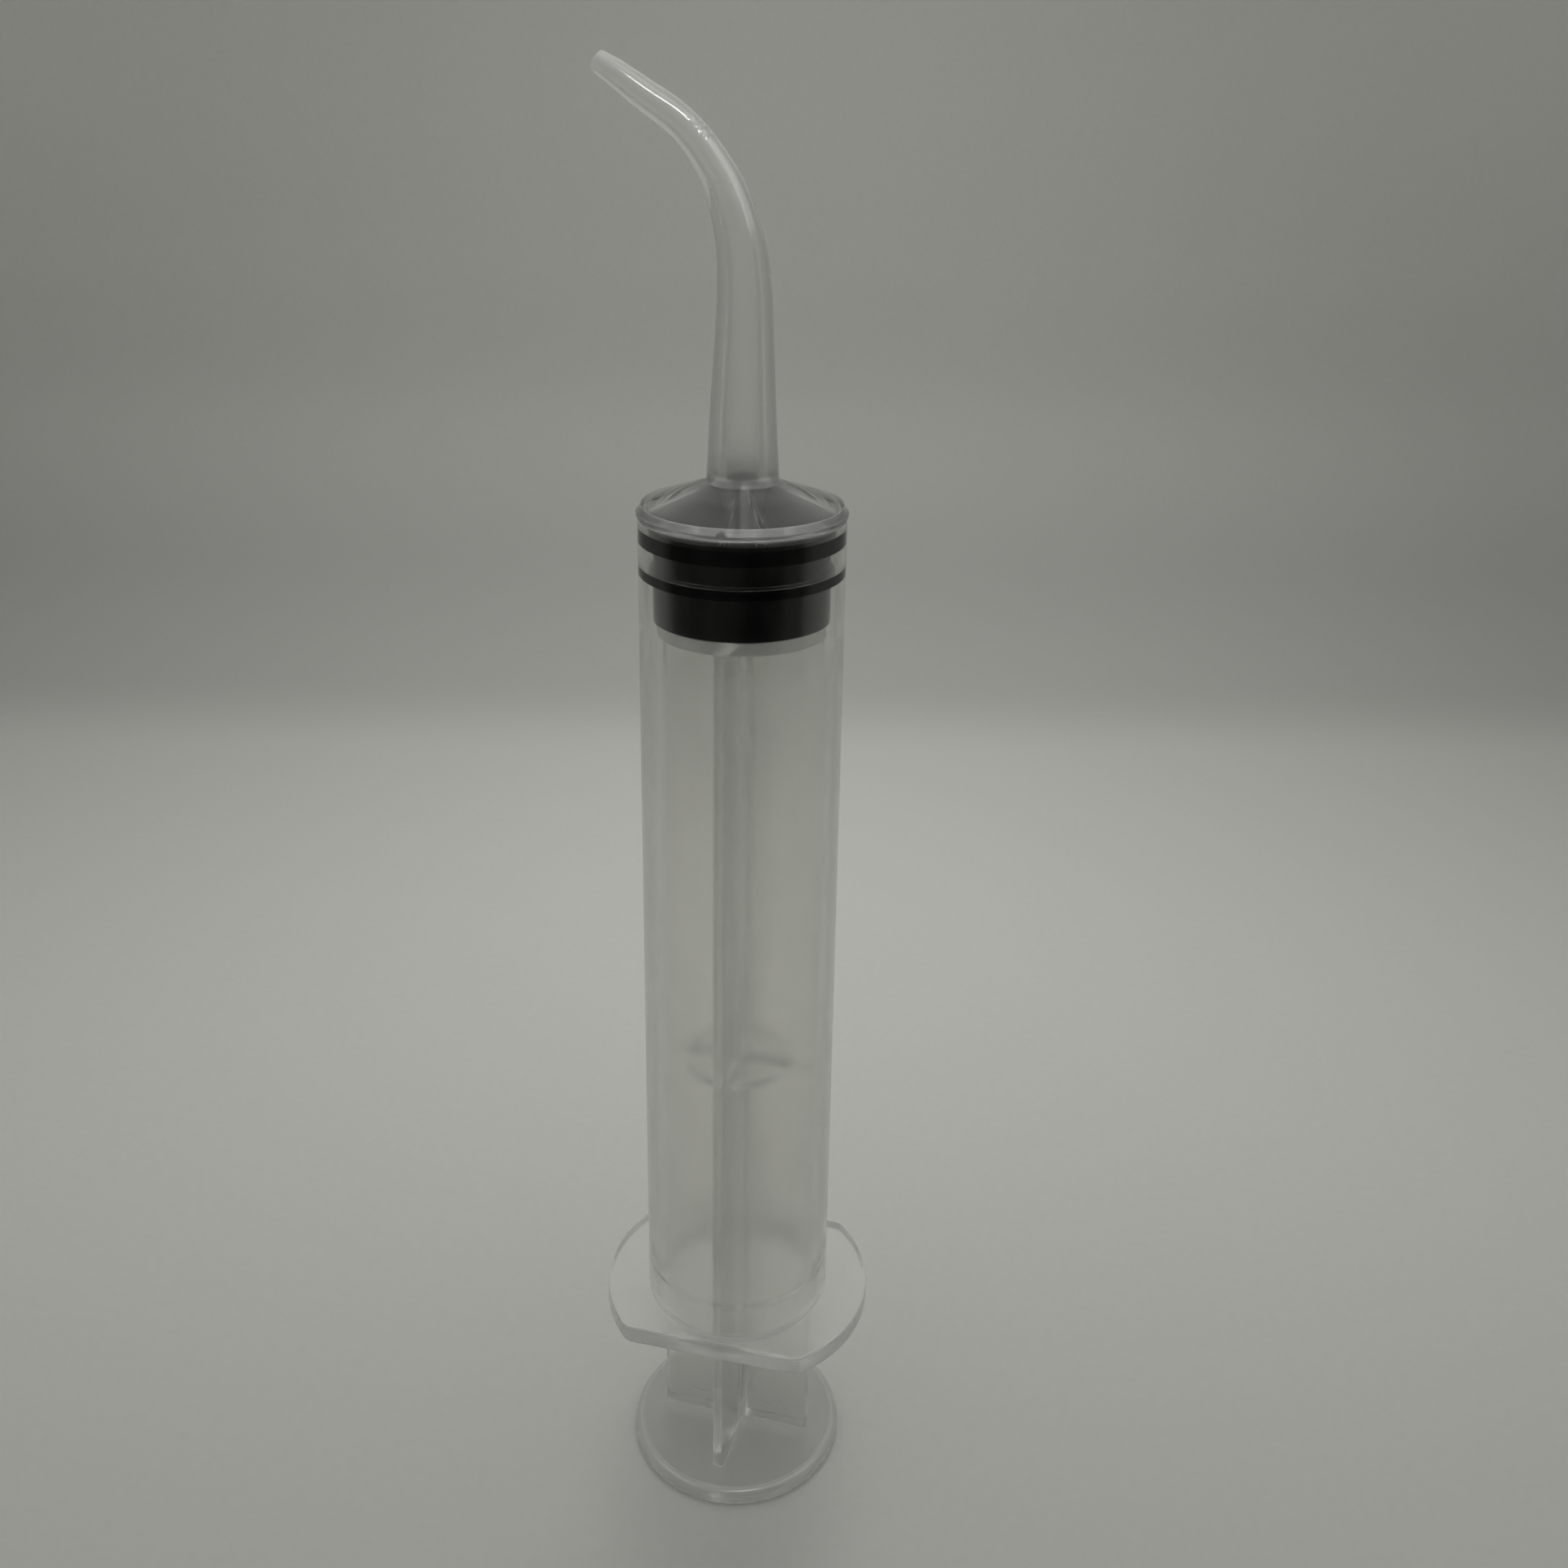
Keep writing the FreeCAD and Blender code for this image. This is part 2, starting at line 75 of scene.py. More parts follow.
# ------------------------------------------------------------------ helpers
def round_corners(points, seg=8):
    """points: (x, y, radius). Returns the polyline with each corner turned into an
    arc, plus a close support point on each side so flat runs shade flat."""
    out = []
    n = len(points)
    for i, (x, y, rad) in enumerate(points):
        if i in (0, n - 1) or rad <= 0:
            out.append((x, y))
            continue
        p = Vector((x, y)); a = Vector(points[i - 1][:2]); b = Vector(points[i + 1][:2])
        da, db = (a - p), (b - p)
        la, lb = da.length, db.length
        da.normalize(); db.normalize()
        cosang = max(-1.0, min(1.0, da.dot(db)))
        ang = math.acos(cosang)
        if ang > math.radians(179.0):
            out.append((x, y))
            continue
        t = rad / math.tan(ang / 2)
        t = min(t, la * 0.48, lb * 0.48)
        rad = t * math.tan(ang / 2)
        bis = (da + db).normalized()
        c = p + bis * (rad / math.sin(ang / 2))
        s0 = p + da * t
        s1 = p + db * t
        a0 = math.atan2(s0.y - c.y, s0.x - c.x)
        a1 = math.atan2(s1.y - c.y, s1.x - c.x)
        d = a1 - a0
        while d > math.pi: d -= 2 * math.pi
        while d < -math.pi: d += 2 * math.pi
        sup = min(0.12, 0.3 * t + 0.02)
        if la - t > 2.2 * sup:
            q = p + da * (t + sup)
            out.append((q.x, q.y))
        k = max(2, int(seg * abs(d) / (math.pi / 2) + 0.5))
        for j in range(k + 1):
            w = a0 + d * j / k
            out.append((c.x + rad * math.cos(w), c.y + rad * math.sin(w)))
        if lb - t > 2.2 * sup:
            q = p + db * (t + sup)
            out.append((q.x, q.y))
    clean = [out[0]]
    for q in out[1:]:
        if (Vector(q) - Vector(clean[-1])).length > 0.004:
            clean.append(q)
    return clean


def split_long(profile, step):
    """Cuts runs longer than step so quads stay reasonable."""
    out = [profile[0]]
    for a, b in zip(profile, profile[1:]):
        l = math.hypot(b[0] - a[0], b[1] - a[1])
        k = max(1, int(math.ceil(l / step)))
        for j in range(1, k + 1):
            out.append((a[0] + (b[0] - a[0]) * j / k, a[1] + (b[1] - a[1]) * j / k))
    return out


def mesh_object(name, verts, faces, smooth_angle=32.0):
    me = bpy.data.meshes.new(name)
    me.from_pydata([tuple(c * MM for c in v) for v in verts], [], faces)
    bm = bmesh.new(); bm.from_mesh(me)
    bmesh.ops.recalc_face_normals(bm, faces=bm.faces)
    bm.to_mesh(me); bm.free()
    me.validate(clean_customdata=False)
    for p in me.polygons:
        p.use_smooth = True
    me.set_sharp_from_angle(angle=math.radians(smooth_angle))
    ob = bpy.data.objects.new(name, me)
    scene.collection.objects.link(ob)
    return ob


def revolve(name, profile, n=192, smooth_angle=32.0):
    """Profile (r, z) starting and ending on the axis."""
    verts, faces, rings = [], [], []
    for r, z in profile:
        if r < 1e-6:
            rings.append([len(verts)])
            verts.append((0.0, 0.0, z))
        else:
            rings.append(list(range(len(verts), len(verts) + n)))
            for k in range(n):
                a = 2 * math.pi * k / n
                verts.append((r * math.cos(a), r * math.sin(a), z))
    for a, b in zip(rings, rings[1:]):
        for k in range(n):
            k2 = (k + 1) % n
            if len(a) == 1 and len(b) > 1:
                faces.append((a[0], b[k], b[k2]))
            elif len(b) == 1 and len(a) > 1:
                faces.append((a[k], b[0], a[k2]))
            elif len(a) > 1:
                faces.append((a[k], b[k], b[k2], a[k2]))
    return mesh_object(name, verts, faces, smooth_angle)


# ------------------------------------------------------------------ barrel
STATIONS = [
    (0.00, 99.20, 3.03, 1.40), (0.00, 101.40, 2.92, 1.36), (0.00, 104.10, 2.78, 1.30),
    (-0.02, 107.40, 2.60, 1.21), (-0.06, 110.60, 2.42, 1.12), (-0.08, 113.20, 2.27, 1.04),
    (-0.02, 115.72, 2.15, 0.97), (0.20, 118.12, 2.01, 0.90), (0.74, 120.46, 1.82, 0.83),
    (1.55, 122.76, 1.62, 0.76), (2.76, 124.86, 1.44, 0.70), (4.24, 126.75, 1.34, 0.66),
    (6.10, 128.34, 1.30, 0.63), (8.21, 129.67, 1.22, 0.60), (10.22, 131.02, 1.08, 0.55),
    (11.96, 132.07, 0.92, 0.49)]


def natural_spline(ts, ys):
    n = len(ts)
    h = [ts[i + 1] - ts[i] for i in range(n - 1)]
    al = [0.0] * n
    for i in range(1, n - 1):
        al[i] = 3 * ((ys[i + 1] - ys[i]) / h[i] - (ys[i] - ys[i - 1]) / h[i - 1])
    l, mu, z = [1.0] + [0.0] * (n - 1), [0.0] * n, [0.0] * n
    for i in range(1, n - 1):
        l[i] = 2 * (ts[i + 1] - ts[i - 1]) - h[i - 1] * mu[i - 1]
        mu[i] = h[i] / l[i]
        z[i] = (al[i] - h[i - 1] * z[i - 1]) / l[i]
    c, b, d = [0.0] * n, [0.0] * (n - 1), [0.0] * (n - 1)
    for j in range(n - 2, -1, -1):
        c[j] = z[j] - mu[j] * c[j + 1]
        b[j] = (ys[j + 1] - ys[j]) / h[j] - h[j] * (c[j + 1] + 2 * c[j]) / 3
        d[j] = (c[j + 1] - c[j]) / (3 * h[j])

    def f(t):
        j = 0
        while j < n - 2 and t > ts[j + 1]:
            j += 1
        u = t - ts[j]
        return ys[j] + b[j] * u + c[j] * u * u + d[j] * u ** 3
    return f


T = [0.0]
for a, b in zip(STATIONS, STATIONS[1:]):
    T.append(T[-1] + math.hypot(b[0] - a[0], b[1] - a[1]))
fx, fz, fo, fi = (natural_spline(T, [s[k] for s in STATIONS]) for k in range(4))
T_END = T[-1]


def station(t):
    """Centre, in-plane normal and tangent of the nozzle at arc length t (row frame, mm)."""
    e = 0.05
    t0, t1 = max(0.0, t - e), min(T_END, t + e)
    dx, dz = -(fx(t1) - fx(t0)), fz(t1) - fz(t0)
    l = math.hypot(dx, dz)
    tx, tz = dx / l, dz / l
    if t < 4.9:                      # the nozzle leaves square to the shoulder
        w = max(0.0, (t - 2.2) / 2.7)
        tx *= w
        l = math.hypot(tx, tz); tx /= l; tz /= l
    return (-fx(min(t, T_END)), fz(min(t, T_END))), (tz, -tx), (tx, tz)


GATE_AZ = -math.pi / 2 + math.radians(4.0)
PHI = [2 * math.pi * k / 240 for k in range(240)]
g0 = GATE_AZ % (2 * math.pi)
extra = [g0 + math.radians(0.40) * k for k in range(-10, 11)]
PHI = sorted([p for p in PHI if abs(p - g0) > math.radians(4.6)] + extra)
NP = len(PHI)


def flange_reach(phi):
    c, f = 12.79, 9.65 / max(1e-6, abs(math.sin(phi)))
    k = 7.0
    lo = min(c, f)
    return lo - math.log(math.exp(-k * (c - lo)) + math.exp(-k * (f - lo))) / k


rows = []          # each row: function phi -> (x, y, z)


def ring(r, z):
    return lambda p: (r * math.cos(p), r * math.sin(p), z)


def flange_ring(inset, z):
    def f(p):
        r = flange_reach(p) - inset
        return (r * math.cos(p), r * math.sin(p), z)
    return f


def gate_bump(p, r, z):
    """Half-round vestige of the injection gate, standing on the rim, flush with its side."""
    q = math.hypot((p - g0) * 8.8, (z - 97.00) * 1.15)
    if z < 97.00 or r > 8.865:
        return r
    w = 1.0 - min(1.0, max(0.0, (q - 0.43) / 0.07))
    return r + (min(8.865, r + 0.24) - r) * w


def rim_ring(r, z):
    def f(p):
        rr = gate_bump(p, r, z)
        return (rr * math.cos(p), rr * math.sin(p), z)
    return f


# flange underside, from the mouth outwards
mouth = round_corners([(8.08, 20.0, 0), (8.08, 17.29, 0.25), (8.33, 17.04, 0.18), (9.2, 17.04, 0)], 6)
mouth = mouth[1:-1]
for r, z in mouth:
    rows.append(ring(r, z))
edge = round_corners([(1.6, 17.04, 0), (0.0, 17.04, 0.28), (0.0, 18.94, 0.28), (1.6, 18.94, 0)], 7)[1:-1]
for inset, z in edge:
    rows.append(flange_ring(inset, z))
# tube, rim and shoulder up to the nozzle
outer = round_corners([
    (9.25, 18.94, 0), (8.75, 18.94, 0.05), (8.75, 96.70, 0.05), (8.86, 96.80, 0.05), (8.86, 97.03, 0.05),
    (8.74, 97.09, 0.04), (8.47, 97.68, 0.05), (3.03, 99.54, 0.05), (2.90, 101.85, 0)], 9)[1:]
outer = split_long(outer, 4.0)
fine = [outer[0]]
for u, v in zip(outer, outer[1:]):
    if 97.0 < v[1] < 97.72 and v[0] > 8.3:
        fine += split_long([u, v], 0.05)[1:]
    else:
        fine.append(v)
outer = fine
for r, z in outer[:-1]:
    if 95.9 < z < 97.9 and r > 8:
        rows.append(rim_ring(r, z))
    else:
        rows.append(ring(r, z))
WELL = []
# nozzle, outside
BEND_T = T[11] - 0.55


def crease(t, p):
    """Small wrinkles on the outside of the sharp bend."""
    out = 0.0
    for dt, amp, w, az, spread in ((-0.55, 0.055, 0.16, -0.35, 0.55), (0.10, 0.075, 0.13, -0.55, 0.50),
                                   (0.62, 0.05, 0.15, -0.20, 0.45), (1.25, 0.035, 0.2, -0.7, 0.5)):
        q = (t - BEND_T - dt - 0.35 * math.sin(p * 1.0 - az))
        a = (p - az + math.pi) % (2 * math.pi) - math.pi
        out += amp * math.exp(-(q / w) ** 2) * math.exp(-(a / spread) ** 2)
    return out


def nozzle_row(t, r, outside):
    (cx, cz), (nx, nz), _ = station(t)

    def f(p):
        rr = r
        if outside:
            rr += crease(t, p)
        a, b = rr * math.cos(p), rr * math.sin(p)
        return (cx + nx * a, b, cz + nz * a)
    return f


ts = []
t = 2.75
while t < T_END - 0.30:
    ts.append(t)
    t += 0.09 if abs(t - BEND_T) < 1.9 else (0.36 if t > 18 else 0.55)
for t in ts:
    rows.append(nozzle_row(t, fo(t), True))
# rounded tip, face, and back inside
ro, ri = fo(T_END), fi(T_END)
for w in range(0, 7):
    a = w / 6 * math.pi / 2
    rows.append(nozzle_row(T_END - 0.16 + 0.16 * math.sin(a), ro - 0.16 + 0.16 * math.cos(a), False))
for w in range(0, 5):
    a = math.pi / 2 + w / 4 * math.pi / 2
    rows.append(nozzle_row(T_END - 0.09 + 0.09 * math.sin(a), ri + 0.09 + 0.09 * math.cos(a), False))
t = T_END - 0.45
while t > 2.3:
    rows.append(nozzle_row(t, fi(t), False))
    t -= 0.36 if t > 18 else 0.6
# cavity: cone, bore, lead-in
inner = round_corners([
    (1.365, 101.2, 0), (1.395, 99.83, 0.60), (7.90, 96.52, 0.40), (7.90, 22.35, 0.10), (8.08, 22.02, 0.12), (8.08, 17.9, 0)], 9)
inner = split_long(inner, 4.0)
for r, z in inner:
    rows.append(ring(r, z))

verts, faces = [], []
for f in rows:
    verts += [f(p) for p in PHI]
M = len(rows)
for i in range(M):
    a, b = i * NP, ((i + 1) % M) * NP
    for k in range(NP):
        k2 = (k + 1) % NP
        faces.append((a + k, a + k2, b + k2, b + k))
barrel = mesh_object("barrel_clear_moulding", verts, faces, 38.0)

# ------------------------------------------------------------------ stopper
stop = round_corners([
    (0.0, 92.38, 0), (2.98, 92.38, 0.15), (4.48, 90.70, 0.15), (4.48, 90.02, 0.10), (2.68, 90.02, 0.15),
    (2.68, 88.00, 0.25), (7.53, 88.00, 0.16), (7.53, 91.60, 0.12), (7.925, 91.62, 0.10), (7.925, 92.60, 0.24),
    (7.50, 92.66, 0.10), (7.50, 94.38, 0.12), (7.925, 94.42, 0.08), (7.925, 95.60, 0.10), (7.84, 96.10, 0.10), (1.45, 99.32, 0.22), (0.0, 99.32, 0)], 8)
stopper = revolve("rubber_stopper_moulding", split_long(stop, 0.8), 256, 30.0)

# ------------------------------------------------------------------ plunger rod
def cross_outline(reach, grow=0.0):
    """Cross section of the ribs (mm). grow swells the outline for the foot fillets."""
    t, rt, ed, b, q = 0.60, 0.66, 0.46, 0.20, 0.55
    quad = []
    # rounded edge of the rib along X
    for k in range(5):
        a = k / 4 * math.pi / 2
        quad.append((reach - b + b * math.cos(a) , t - b + b * math.sin(a)))
    # root fillet
    for k in range(7):
        a = -math.pi / 2 - k / 6 * math.pi / 2
        quad.append((rt + q + q * math.cos(a), t + q + q * math.sin(a)))
    for k in range(5):
        a = k / 4 * math.pi / 2
        quad.append((ed - b + b * math.cos(a), reach - b + b * math.sin(a)))
    pts = [(x, y) for x, y in quad]
    pts += [(-x, y) for x, y in reversed(quad)]
    pts += [(-x, -y) for x, y in quad]
    pts += [(x, -y) for x, y in reversed(quad)]
    clean = []
    for p in pts:
        if not clean or math.hypot(p[0] - clean[-1][0], p[1] - clean[-1][1]) > 1e-4:
            clean.append(p)
    if grow:
        n = len(clean)
        out = []
        for i in range(n):
            a, b2 = Vector(clean[i - 1]), Vector(clean[(i + 1) % n])
            d = (b2 - a).normalized()
            nrm = Vector((d.y, -d.x))
            out.append((clean[i][0] + nrm.x * grow, clean[i][1] + nrm.y * grow))
        clean = out
    return clean


def prism(name, levels):
    verts, faces = [], []
    n = len(levels[0][1])
    for z, pts in levels:
        verts += [(x, y, z) for x, y in pts]
    for i in range(len(levels) - 1):
        a, b = i * n, (i + 1) * n
        for k in range(n):
            k2 = (k + 1) % n
            faces.append((a + k, a + k2, b + k2, b + k))
    faces.append(tuple(reversed(range(n))))
    faces.append(tuple(range((len(levels) - 1) * n, len(levels) * n)))
    return mesh_object(name, verts, faces)


def reach_at(z):
    return 7.36 + (7.06 - 7.36) * min(1.0, max(0.0, (z - 1.2) / 85.5))


FIL = 0.20
levels = [(0.9, cross_outline(reach_at(1.2), FIL * 0.93))]
for k in range(6):
    a = k / 5 * math.pi / 2
    z = 1.50 + FIL * (1 - math.cos(a)) * 1.0 if False else 1.50 + FIL * math.sin(a)
    levels.append((z, cross_outline(reach_at(z), FIL * (1 - math.sin(a)) ** 1.6)))
for z in (8.0, 20.0, 32.0, 44.0, 56.0, 68.0, 80.0, 86.0):
    levels.append((z, cross_outline(reach_at(z), 0.0)))
for k in range(1, 5):
    a = k / 4
    levels.append((86.35 + 0.40 * a, cross_outline(reach_at(86.7) - 0.05 * a, 0.25 * a ** 2.2)))
levels.append((87.3, cross_outline(reach_at(86.7) - 0.1, 0.20)))
rod = prism("plunger_rod_moulding", levels)
thumb = revolve("cut_thumb", split_long(round_corners([
    (0.0, 0.0, 0), (10.36, 0.0, 0.30), (10.36, 1.55, 0.90), (0.0, 1.55, 0)], 12), 2.5), 256)
web = revolve("cut_web", round_corners([
    (0.0, 43.90, 0), (4.90, 43.90, 0.12), (4.90, 44.75, 0.12), (0.0, 44.75, 0)], 5), 128)
head = revolve("cut_head", split_long(round_corners([
    (0.0, 86.70, 0), (7.22, 86.70, 0.22), (7.22, 87.95, 0.12), (2.60, 87.95, 0.20), (2.60, 90.10, 0.12),
    (4.40, 90.10, 0.12), (4.40, 90.70, 0.12), (2.90, 92.30, 0.20), (0.0, 92.30, 0)], 6), 2.5), 192)


def boolean(base, tool, how):
    mod = base.modifiers.new("b", "BOOLEAN")
    mod.operation, mod.object, mod.solver = how, tool, "EXACT"
    dg = bpy.context.evaluated_depsgraph_get()
    me = bpy.data.meshes.new_from_object(base.evaluated_get(dg))
    base.modifiers.clear()
    old = base.data
    base.data = me
    bpy.data.meshes.remove(old)
    bpy.data.objects.remove(tool)


for tool in (thumb, web, head):
    boolean(rod, tool, "UNION")
for sx in (-1, 1):
    for z in (5.2, 47.6, 81.4):
        vs, fs = [], []
        n = 64
        # a shallow round recess with a slightly sloping wall, sunk in the -Y face of the X ribs
        for y, r in ((-1.2, 1.72), (-0.60, 1.66), (-0.54, 1.60)):
            for k in range(n):
                a = 2 * math.pi * k / n
                vs.append((sx * 3.6 + r * math.cos(a), y, z + r * math.sin(a)))
        for i in range(2):
            for k in range(n):
                k2 = (k + 1) % n
                fs.append((i * n + k, i * n + k2, (i + 1) * n + k2, (i + 1) * n + k))
        fs.append(tuple(range(n)))
        fs.append(tuple(reversed(range(2 * n, 3 * n))))
        boolean(rod, mesh_object("cut_pin", vs, fs), "DIFFERENCE")
rm = rod.data
bm = bmesh.new(); bm.from_mesh(rm)
bmesh.ops.remove_doubles(bm, verts=bm.verts, dist=2e-6)
bmesh.ops.dissolve_degenerate(bm, edges=bm.edges, dist=1e-6)
bm.to_mesh(rm); bm.free()
for p in rm.polygons:
    p.use_smooth = True
rm.set_sharp_from_angle(angle=math.radians(28.0))


# ------------------------------------------------------------------ materials
def material(name):
    mat = bpy.data.materials.new(name)
    mat.use_nodes = True
    nt = mat.node_tree
    nt.nodes.clear()
    return mat, nt, nt.nodes, nt.links


def along_z(N, L, height, stops):
    """A value that changes with height in the object; stops are (z in mm, value)."""
    mr = N.new("ShaderNodeMapRange")
    mr.inputs["From Min"].default_value, mr.inputs["From Max"].default_value = 0.0, 0.135
    L.new(height, mr.inputs["Value"])
    ramp = N.new("ShaderNodeValToRGB")
    ramp.color_ramp.interpolation = "LINEAR"
    while len(ramp.color_ramp.elements) < len(stops):
        ramp.color_ramp.elements.new(0.5)
    for e, (z, v) in zip(ramp.color_ramp.elements, stops):
        e.position = z / 135.0
        e.color = (v, v, v, 1)
    L.new(mr.outputs[0], ramp.inputs["Fac"])
    return ramp.outputs["Color"]


def clear_plastic(name, tint, milk, rough_lo, rough_hi, bump, seed, skin, clarity, polish, painted_shading, passes, bend, edge=None, rings=()):
    """Polypropylene: clear to look through but hazy, so things behind it blur with
    distance, milkier where the wall is thick, with a glossier skin where the mould
    is polished."""
    mat, nt, N, L = material(name)
    out = N.new("ShaderNodeOutputMaterial")
    bs = N.new("ShaderNodeBsdfPrincipled")
    bs.inputs["Coat Weight"].default_value = skin
    bs.inputs["Coat Roughness"].default_value = 0.06
    bs.inputs["Coat IOR"].default_value = 1.49
    tc = N.new("ShaderNodeTexCoord")
    sp = N.new("ShaderNodeSeparateXYZ"); L.new(tc.outputs["Object"], sp.inputs[0])
    # hazy plastic bends light less crisply than clear glass; bend is (IOR - 1) / 0.5 by height
    bi = N.new("ShaderNodeMath"); bi.operation = "MULTIPLY_ADD"; bi.inputs[1].default_value = 0.5; bi.inputs[2].default_value = 1.0
    L.new(along_z(N, L, sp.outputs["Z"], bend), bi.inputs[0]); L.new(bi.outputs[0], bs.inputs["IOR"])
    # slow cloudiness of the moulding
    mp = N.new("ShaderNodeMapping"); mp.inputs["Scale"].default_value = (1.0, 1.0, 0.35)
    mp.inputs["Location"].default_value = (seed, seed * 0.7, -seed)
    L.new(tc.outputs["Object"], mp.inputs["Vector"])
    n1 = N.new("ShaderNodeTexNoise"); n1.inputs["Scale"].default_value = 220.0; n1.inputs["Detail"].default_value = 5.0
    L.new(mp.outputs[0], n1.inputs["Vector"])
    ramp = N.new("ShaderNodeValToRGB")
    ramp.color_ramp.elements[0].position, ramp.color_ramp.elements[1].position = 0.30, 0.72
    ramp.color_ramp.elements[0].color = (*[c * (1 - milk) for c in tint], 1)
    ramp.color_ramp.elements[1].color = (*tint, 1)
    L.new(n1.outputs["Fac"], ramp.inputs["Fac"])
    flat = N.new("ShaderNodeVectorMath"); flat.operation = "MULTIPLY"; flat.inputs[1].default_value = (1.0, 1.0, 0.0)
    far = N.new("ShaderNodeVectorMath"); far.operation = "LENGTH"
    L.new(tc.outputs["Object"], flat.inputs[0]); L.new(flat.outputs[0], far.inputs[0])
    # painted shade: the base colour is darkened by height, standing in for shade on the barrel's flange and nozzle foot
    # and round the foot of the thumb rest
    tn = N.new("ShaderNodeMix"); tn.data_type = "RGBA"; tn.blend_type = "MULTIPLY"; tn.inputs[0].default_value = 1.0
    L.new(ramp.outputs["Color"], tn.inputs[6]); L.new(along_z(N, L, sp.outputs["Z"], painted_shading), tn.inputs[7])
    base = tn.outputs[2]
    cloudy = []
    for shade_grey, cloud, by_radius, by_height in rings:
        # painted shade: greyer rings of base colour where the wall changes thickness (shoulder band, nozzle foot, bore
        # entrance, lead-in, flange crease, rim of the thumb rest); some also make the wall cloudier
        rz = N.new("ShaderNodeMath"); rz.operation = "MULTIPLY"
        L.new(along_z(N, L, far.outputs["Value"], by_radius), rz.inputs[0])
        L.new(along_z(N, L, sp.outputs["Z"], by_height), rz.inputs[1])
        dm = N.new("ShaderNodeMix"); dm.data_type = "RGBA"
        dm.inputs[7].default_value = (shade_grey, shade_grey, shade_grey * 0.99, 1)
        L.new(rz.outputs[0], dm.inputs[0]); L.new(base, dm.inputs[6])
        base = dm.outputs[2]
        cloudy.append((rz.outputs[0], cloud))
    L.new(base, bs.inputs["Base Color"])
    # clarity: thin walls are clear, thick ones milky, and the cloudiness shows in it
    cl = N.new("ShaderNodeMath"); cl.operation = "MULTIPLY"
    cm = N.new("ShaderNodeMapRange")
    cm.inputs["From Min"].default_value, cm.inputs["From Max"].default_value = 0.30, 0.72
    cm.inputs["To Min"].default_value, cm.inputs["To Max"].default_value = 0.985, 1.0
    L.new(n1.outputs["Fac"], cm.inputs["Value"])
    L.new(along_z(N, L, sp.outputs["Z"], clarity), cl.inputs[0]); L.new(cm.outputs[0], cl.inputs[1])
    clear = cl.outputs[0]
    for where, cloud in cloudy:
        if cloud:
            less = N.new("ShaderNodeMath"); less.operation = "MULTIPLY_ADD"; less.inputs[1].default_value = -cloud; less.use_clamp = True
            L.new(where, less.inputs[0]); L.new(clear, less.inputs[2])
            clear = less.outputs[0]
    if edge:
        # the thick outer edge of the shoulder is cloudier than the wall inside it
        r_in, r_out, loss, stops = edge
        er = N.new("ShaderNodeMapRange")
        er.inputs["From Min"].default_value, er.inputs["From Max"].default_value = r_in * MM, r_out * MM
        er.inputs["To Min"].default_value, er.inputs["To Max"].default_value = 0.0, loss
        L.new(far.outputs["Value"], er.inputs["Value"])
        ez = N.new("ShaderNodeMath"); ez.operation = "MULTIPLY"
        L.new(er.outputs[0], ez.inputs[0]); L.new(along_z(N, L, sp.outputs["Z"], stops), ez.inputs[1])
        sub = N.new("ShaderNodeMath"); sub.operation = "SUBTRACT"; sub.use_clamp = True
        L.new(clear, sub.inputs[0]); L.new(ez.outputs[0], sub.inputs[1])
        clear = sub.outputs[0]
        matt = ez.outputs[0]
    L.new(clear, bs.inputs["Transmission Weight"])
    # roughness: soft haze with fine rub marks
    n2 = N.new("ShaderNodeTexNoise"); n2.inputs["Scale"].default_value = 1400.0; n2.inputs["Detail"].default_value = 3.0
    mp2 = N.new("ShaderNodeMapping"); mp2.inputs["Scale"].default_value = (1.0, 1.0, 0.12)
    L.new(tc.outputs["Object"], mp2.inputs["Vector"]); L.new(mp2.outputs[0], n2.inputs["Vector"])
    add = N.new("ShaderNodeMath"); add.operation = "MULTIPLY"
    L.new(n1.outputs["Fac"], add.inputs[0]); L.new(n2.outputs["Fac"], add.inputs[1])
    mr = N.new("ShaderNodeMapRange")
    mr.inputs["From Min"].default_value, mr.inputs["From Max"].default_value = 0.12, 0.42
    mr.inputs["To Min"].default_value, mr.inputs["To Max"].default_value = rough_lo, rough_hi
    L.new(add.outputs[0], mr.inputs["Value"])
    rg = N.new("ShaderNodeMath"); rg.operation = "MULTIPLY"
    L.new(mr.outputs[0], rg.inputs[0]); L.new(along_z(N, L, sp.outputs["Z"], polish), rg.inputs[1])
    if edge:
        more = N.new("ShaderNodeMath"); more.operation = "MULTIPLY_ADD"; more.inputs[1].default_value = 0.10
        L.new(matt, more.inputs[0]); L.new(rg.outputs[0], more.inputs[2])
        L.new(more.outputs[0], bs.inputs["Roughness"])
    else:
        L.new(rg.outputs[0], bs.inputs["Roughness"])
    # flow ripples of the moulded skin
    n3 = N.new("ShaderNodeTexNoise"); n3.inputs["Scale"].default_value = 420.0; n3.inputs["Detail"].default_value = 2.0
    L.new(mp.outputs[0], n3.inputs["Vector"])
    bp = N.new("ShaderNodeBump"); bp.inputs["Strength"].default_value = bump; bp.inputs["Distance"].default_value = 0.00003
    L.new(n3.outputs["Fac"], bp.inputs["Height"]); L.new(bp.outputs[0], bs.inputs["Normal"])
    L.new(bp.outputs[0], bs.inputs["Coat Normal"])
    # lamps, and light on its way between matt surfaces, reach through the clear plastic
    lp = N.new("ShaderNodeLightPath"); tr = N.new("ShaderNodeBsdfTransparent")
    L.new(along_z(N, L, sp.outputs["Z"], passes), tr.inputs["Color"])
    either = N.new("ShaderNodeMath"); either.operation = "MAXIMUM"
    L.new(lp.outputs["Is Shadow Ray"], either.inputs[0]); L.new(lp.outputs["Is Diffuse Ray"], either.inputs[1])
    mix = N.new("ShaderNodeMixShader")
    L.new(either.outputs[0], mix.inputs[0]); L.new(bs.outputs[0], mix.inputs[1]); L.new(tr.outputs[0], mix.inputs[2])
    L.new(mix.outputs[0], out.inputs["Surface"])
    return mat


